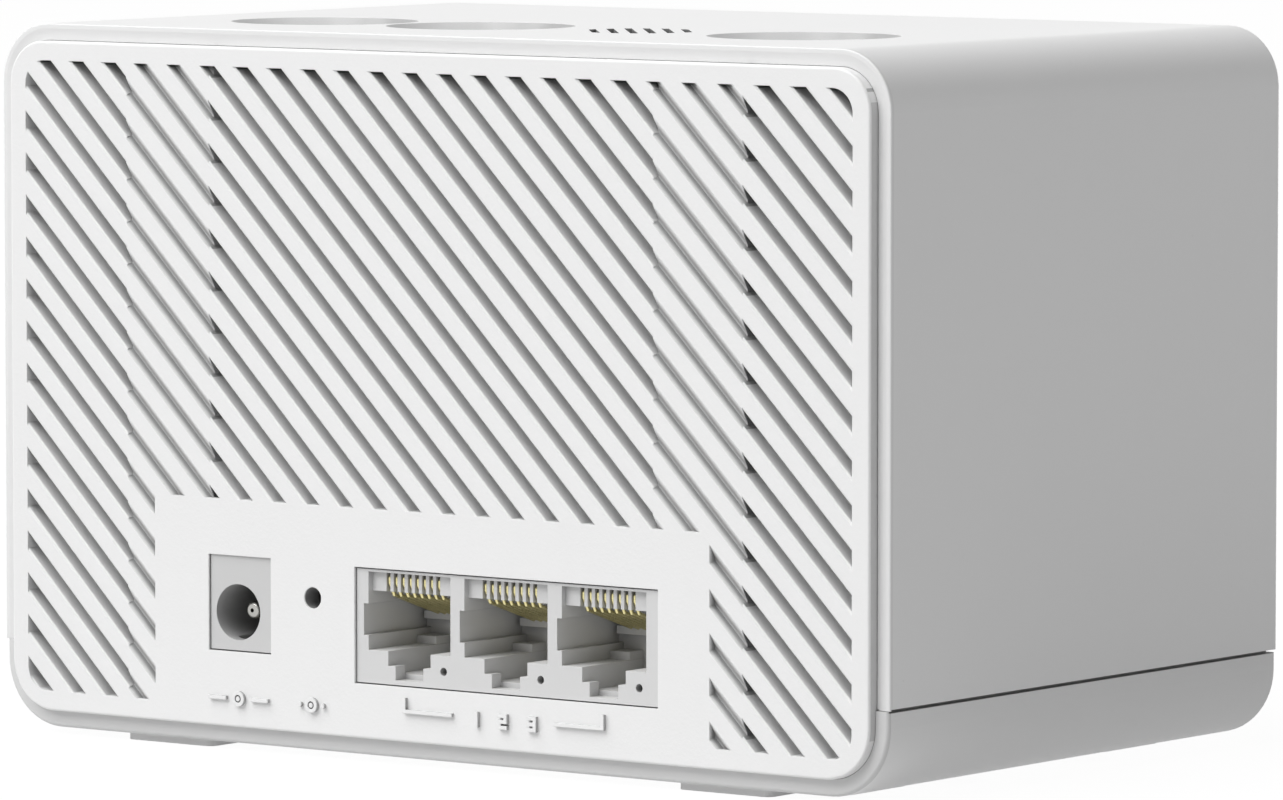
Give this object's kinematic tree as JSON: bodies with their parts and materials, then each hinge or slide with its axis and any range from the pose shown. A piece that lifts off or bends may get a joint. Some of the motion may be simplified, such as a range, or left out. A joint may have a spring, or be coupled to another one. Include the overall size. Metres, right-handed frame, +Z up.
{
  "type": "wireless router",
  "caption": "Small free-standing desktop wireless router: rounded white box with a slotted rear panel, a power socket, a reset pinhole and network sockets, complete inside.",
  "frame": {"origin": "on the table, under the middle of the box's bounding box", "axes": "+Z up, +Y towards the rear face with the sockets, +X to the left as seen from the rear"},
  "size_m": [0.1292, 0.0808, 0.0846],
  "materials": {
    "shell_plastic": "white, lightly polished ABS",
    "base_plastic": "off-white, fine matte ABS",
    "panel_plastic": "white, fine matte ABS",
    "foot_rubber": "grey moulded rubber",
    "socket_plastic": "light grey nylon",
    "contact_gold": "gold-plated wire",
    "power_plastic": "light grey nylon",
    "pin_nickel": "nickel-plated",
    "switch_plastic": "black moulded plastic",
    "button_plastic": "grey moulded plastic",
    "dome_steel": "stainless sheet",
    "board_laminate": "green solder mask",
    "chip_resin": "black epoxy",
    "transformer_case": "black moulded case",
    "coil_ferrite": "grey ferrite",
    "capacitor_can": "drawn aluminium",
    "shield_tin": "tin-plated sheet",
    "thermal_silicone": "soft silicone pad",
    "sink_aluminium": "extruded",
    "pin_nylon": "white nylon",
    "led_resin": "clear cast resin",
    "light_guide_acrylic": "milky acrylic",
    "screw_steel": "zinc-plated",
    "antenna_laminate": "printed laminate",
    "connector_brass": "gold-plated",
    "lead_jacket": "grey coaxial jacket"
  },
  "bodies": {
    "router": {"upper_shell": "shell_plastic", "base_shell": "base_plastic", "rear_panel": "panel_plastic", "foot_rear_left": "foot_rubber", "foot_rear_right": "foot_rubber", "foot_front_left": "foot_rubber", "foot_front_right": "foot_rubber", "side_feet": "foot_rubber", "ethernet_jack": "socket_plastic", "ethernet_contacts": "contact_gold", "power_jack_body": "power_plastic", "power_jack_pin": "pin_nickel", "power_jack_spring": "pin_nickel", "reset_switch_body": "switch_plastic", "reset_dome": "dome_steel", "main_board": "board_laminate", "processor": "chip_resin", "memory_chips": "chip_resin", "flash_chip": "chip_resin", "switch_chip": "chip_resin", "radio_chips": "chip_resin", "ethernet_transformers": "transformer_case", "power_coils": "coil_ferrite", "capacitors": "capacitor_can", "shield_frame": "shield_tin", "shield_lid": "shield_tin", "thermal_pad": "thermal_silicone", "heat_sink": "sink_aluminium", "heat_sink_pins": "pin_nylon", "status_led": "led_resin", "light_guide": "light_guide_acrylic", "housing_screws": "screw_steel", "board_screws": "screw_steel", "antenna_left": "antenna_laminate", "antenna_right": "antenna_laminate", "antenna_front": "antenna_laminate", "antenna_top": "antenna_laminate", "antenna_sockets": "connector_brass", "antenna_plugs": "connector_brass", "antenna_lead_left": "lead_jacket", "antenna_lead_right": "lead_jacket", "antenna_lead_front": "lead_jacket", "antenna_lead_top": "lead_jacket"},
    "reset_plunger": {"reset_button": "button_plastic"}
  },
  "joints": [
    {"name": "reset_press", "type": "slide", "parent": "router", "child": "reset_plunger", "axis": [0, -1, 0], "range_m": [0, 0.0003], "stiffness_N_per_m": 600}
  ]
}
